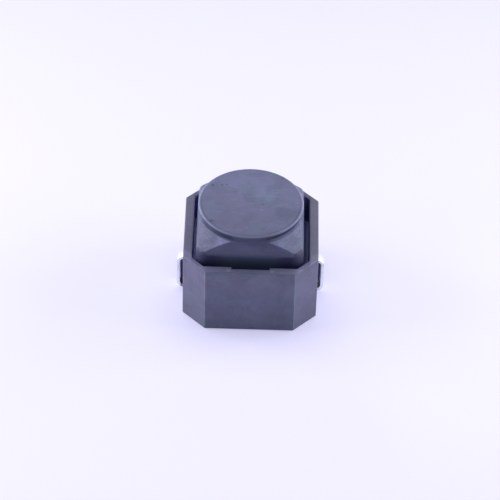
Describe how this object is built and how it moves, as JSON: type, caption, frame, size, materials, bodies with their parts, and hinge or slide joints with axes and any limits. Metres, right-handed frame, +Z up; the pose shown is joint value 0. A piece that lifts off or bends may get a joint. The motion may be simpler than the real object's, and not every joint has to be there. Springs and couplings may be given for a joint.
{
  "type": "tactile push button switch",
  "caption": "Surface-mount tactile push button with an octagonal housing, a square cap with a round flat top, and a J-shaped lead on each side.",
  "frame": {"origin": "middle of the footprint, on the plane of the board that the switch stands on", "axes": "+X from the left lead to the right lead, -Y the front side, +Z up out of the cap"},
  "size_m": [0.011, 0.01, 0.0083],
  "materials": {
    "housing_plastic": "satin, moulded",
    "cap_plastic": "satin, moulded, faintly scuffed",
    "plunger_plastic": "smooth, moulded",
    "spring_steel": "drawn wire",
    "dome_steel": "rolled sheet",
    "film": "amber film",
    "base_plastic": "satin, moulded",
    "terminal_tin": "bright tin plate"
  },
  "bodies": {
    "body": {"housing": "housing_plastic", "base": "base_plastic", "left_terminal": "terminal_tin", "right_terminal": "terminal_tin", "snap_dome": "dome_steel", "dome_film": "film", "return_spring": "spring_steel"},
    "button": {"cap": "cap_plastic", "plunger": "plunger_plastic"}
  },
  "joints": [
    {"name": "press", "type": "slide", "parent": "body", "child": "button", "axis": [0, 0, -1], "range_m": [0, 0.00035], "stiffness_N_per_m": 3200, "springref_m": -0.00015, "deforming": ["return_spring", "snap_dome", "dome_film"]}
  ]
}
